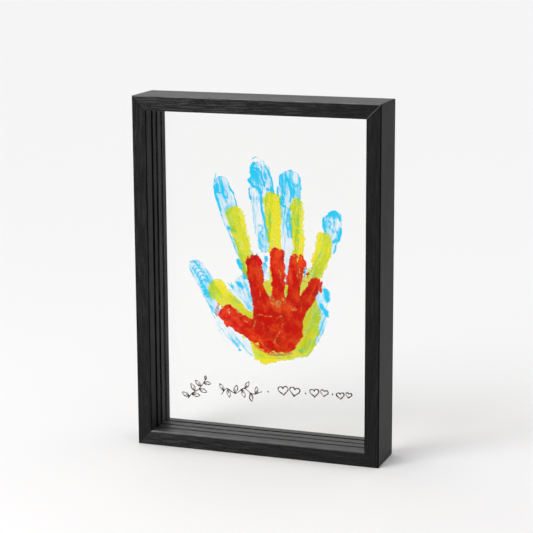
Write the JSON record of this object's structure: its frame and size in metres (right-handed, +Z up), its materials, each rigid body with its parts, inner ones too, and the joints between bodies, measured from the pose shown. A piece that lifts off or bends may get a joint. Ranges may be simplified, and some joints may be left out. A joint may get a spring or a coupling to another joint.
{
  "type": "handprint frame",
  "caption": "Deep black wood box frame that holds clear sheets with painted handprints one behind another; its top rail lifts off so the sheets slide out.",
  "frame": {"origin": "middle of the base, on the surface the frame stands on", "axes": "+Z up, -Y towards the front that the picture shows, +X to the right seen from the front"},
  "size_m": [0.223, 0.043, 0.312],
  "materials": {
    "black_wood": "black stained open grain, satin lacquer",
    "clear_sheet": "clear polished acrylic",
    "red_paint": "brushed-on opaque hand paint",
    "yellow_green_paint": "thin translucent hand paint",
    "light_blue_paint": "thin streaky hand paint",
    "magnet_plating": "bright nickel plating",
    "nail_steel": "plain steel strip"
  },
  "bodies": {
    "frame": {"bottom_rail": "black_wood", "left_stile": "black_wood", "right_stile": "black_wood", "left_stile_magnets": "magnet_plating", "right_stile_magnets": "magnet_plating", "left_corner_nails": "nail_steel", "right_corner_nails": "nail_steel"},
    "top": {"top_rail": "black_wood", "left_rail_magnets": "magnet_plating", "right_rail_magnets": "magnet_plating"},
    "front_sheet": {"front_panel": "clear_sheet", "small_handprint": "red_paint"},
    "middle_sheet": {"middle_panel": "clear_sheet", "medium_handprint": "yellow_green_paint"},
    "back_sheet": {"back_panel": "clear_sheet", "large_handprint": "light_blue_paint"}
  },
  "joints": [
    {"name": "top_rail_lift", "type": "slide", "parent": "frame", "child": "top", "axis": [0, 0, 1], "range_m": [0, 0.36]},
    {"name": "front_sheet_slide", "type": "slide", "parent": "frame", "child": "front_sheet", "axis": [0, 0, 1], "range_m": [0, 0.31]},
    {"name": "middle_sheet_slide", "type": "slide", "parent": "frame", "child": "middle_sheet", "axis": [0, 0, 1], "range_m": [0, 0.31]},
    {"name": "back_sheet_slide", "type": "slide", "parent": "frame", "child": "back_sheet", "axis": [0, 0, 1], "range_m": [0, 0.31]}
  ],
  "couplings": [
    {"joint": "front_sheet_slide", "follows": "top_rail_lift", "ratio": 0.861},
    {"joint": "middle_sheet_slide", "follows": "top_rail_lift", "ratio": 0.861},
    {"joint": "back_sheet_slide", "follows": "top_rail_lift", "ratio": 0.861}
  ]
}
